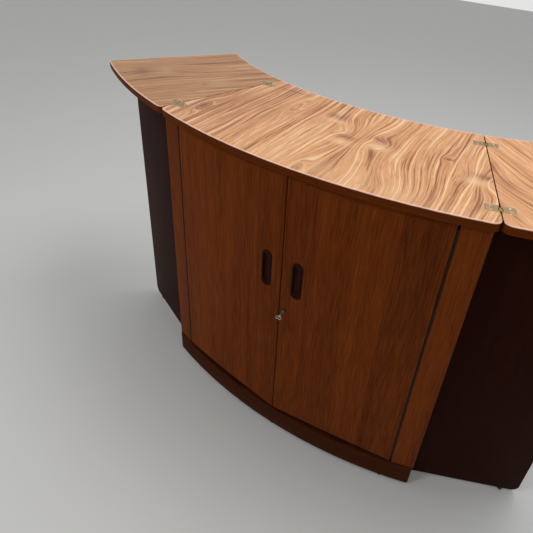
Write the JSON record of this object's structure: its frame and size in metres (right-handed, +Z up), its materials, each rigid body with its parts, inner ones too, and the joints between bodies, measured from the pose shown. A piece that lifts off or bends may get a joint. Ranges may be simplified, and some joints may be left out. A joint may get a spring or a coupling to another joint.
{
  "type": "curved bar cabinet",
  "caption": "Bow-fronted teak bar cabinet with two doors, a figured curved top, fold-over leaves on flap hinges and swing-out gates that carry them.",
  "frame": {"origin": "bottom centre of the bounding box, on the floor", "axes": "+X to the right seen from the front, -Y towards the viewer of the doors, +Z up"},
  "size_m": [1.74, 0.6452, 0.95],
  "materials": {
    "core_board": "sanded chipboard",
    "edge_teak": "satin lacquer",
    "burr_laminate": "satin decorative laminate with a figured wood pattern",
    "case_board": "satin lacquer",
    "teak_veneer": "satin lacquer",
    "teak_solid": "satin lacquer",
    "gate_veneer": "gloss lacquer",
    "block_wood": "plain",
    "pull_resin": "gloss",
    "hinge_brass": "worn satin",
    "screw_steel": "bright",
    "strip_steel": "dull",
    "lock_steel": "satin",
    "key_steel": "bright",
    "glide_plastic": "matt"
  },
  "bodies": {
    "cabinet": {"main_top_core": "core_board", "main_top_lipping": "edge_teak", "main_top_laminate": "burr_laminate", "side_left": "case_board", "side_right": "case_board", "back_panel": "case_board", "bottom_board": "case_board", "inner_shelf": "case_board", "shelf_pegs": "strip_steel", "front_rail": "case_board", "stile_left": "teak_veneer", "stile_right": "teak_veneer", "plinth_front": "teak_veneer", "plinth_sides": "case_board", "plinth_back": "case_board", "floor_glides": "glide_plastic", "door_stops": "block_wood", "flap_plates_main": "hinge_brass", "flap_screws_main": "screw_steel", "door_hinge_fixed_left": "strip_steel", "door_hinge_fixed_right": "strip_steel", "door_hinge_pins": "strip_steel", "gate_hinge_fixed_left": "strip_steel", "gate_hinge_fixed_right": "strip_steel", "gate_hinge_pins": "strip_steel"},
    "left_door": {"door_left_panel": "teak_veneer", "door_left_lipping": "teak_solid", "pull_left": "pull_resin", "door_hinge_moving_left": "strip_steel", "lock_keeper": "lock_steel"},
    "right_door": {"door_right_panel": "teak_veneer", "door_right_lipping": "teak_solid", "pull_right": "pull_resin", "door_hinge_moving_right": "strip_steel", "lock_case": "lock_steel", "escutcheon": "hinge_brass"},
    "key_body": {"key": "key_steel"},
    "bolt_body": {"lock_bolt": "lock_steel"},
    "left_links": {"flap_links_left": "hinge_brass"},
    "right_links": {"flap_links_right": "hinge_brass"},
    "left_leaf": {"leaf_left_core": "core_board", "leaf_left_lipping": "edge_teak", "leaf_left_laminate": "burr_laminate", "flap_plates_leaf_left": "hinge_brass", "flap_screws_leaf_left": "screw_steel", "gate_block_left": "block_wood"},
    "right_leaf": {"leaf_right_core": "core_board", "leaf_right_lipping": "edge_teak", "leaf_right_laminate": "burr_laminate", "flap_plates_leaf_right": "hinge_brass", "flap_screws_leaf_right": "screw_steel", "gate_block_right": "block_wood"},
    "left_gate": {"gate_left_panel": "gate_veneer", "gate_hinge_moving_left": "strip_steel", "gate_glide_left": "glide_plastic"},
    "right_gate": {"gate_right_panel": "gate_veneer", "gate_hinge_moving_right": "strip_steel", "gate_glide_right": "glide_plastic"}
  },
  "joints": [
    {"name": "right_door_swing", "type": "hinge", "parent": "cabinet", "child": "right_door", "pos_m": [0.37674, -0.24402, 0.5], "axis": [0, 0, 1], "range_deg": [0, 105]},
    {"name": "left_door_swing", "type": "hinge", "parent": "cabinet", "child": "left_door", "pos_m": [-0.37674, -0.24402, 0.5], "axis": [0, 0, -1], "range_deg": [0, 105]},
    {"name": "key_turn", "type": "hinge", "parent": "right_door", "child": "key_body", "pos_m": [0.015, -0.29061, 0.512], "axis": [0, -1, 0], "range_deg": [0, 105]},
    {"name": "bolt_throw", "type": "slide", "parent": "right_door", "child": "bolt_body", "axis": [-1, 0, 0], "range_m": [0, 0.008]},
    {"name": "right_link_lift", "type": "hinge", "parent": "cabinet", "child": "right_links", "pos_m": [0.38508, -0.0232, 0.9482], "axis": [0.294, -0.9558, 0], "range_deg": [0, 90]},
    {"name": "right_leaf_fold", "type": "hinge", "parent": "right_links", "child": "right_leaf", "pos_m": [0.39119, -0.02131, 0.9482], "axis": [0.294, -0.9558, 0], "range_deg": [0, 90]},
    {"name": "left_link_lift", "type": "hinge", "parent": "cabinet", "child": "left_links", "pos_m": [-0.38508, -0.0232, 0.9482], "axis": [0.294, 0.9558, 0], "range_deg": [0, 90]},
    {"name": "left_leaf_fold", "type": "hinge", "parent": "left_links", "child": "left_leaf", "pos_m": [-0.39119, -0.02131, 0.9482], "axis": [0.294, 0.9558, 0], "range_deg": [0, 90]},
    {"name": "right_gate_swing", "type": "hinge", "parent": "cabinet", "child": "right_gate", "pos_m": [0.42783, -0.19209, 0.5], "axis": [0, 0, 1], "range_deg": [0, 85]},
    {"name": "left_gate_swing", "type": "hinge", "parent": "cabinet", "child": "left_gate", "pos_m": [-0.42783, -0.19209, 0.5], "axis": [0, 0, -1], "range_deg": [0, 85]}
  ],
  "couplings": [
    {"joint": "key_turn", "follows": "bolt_throw", "rad_per_m": 196.35}
  ]
}
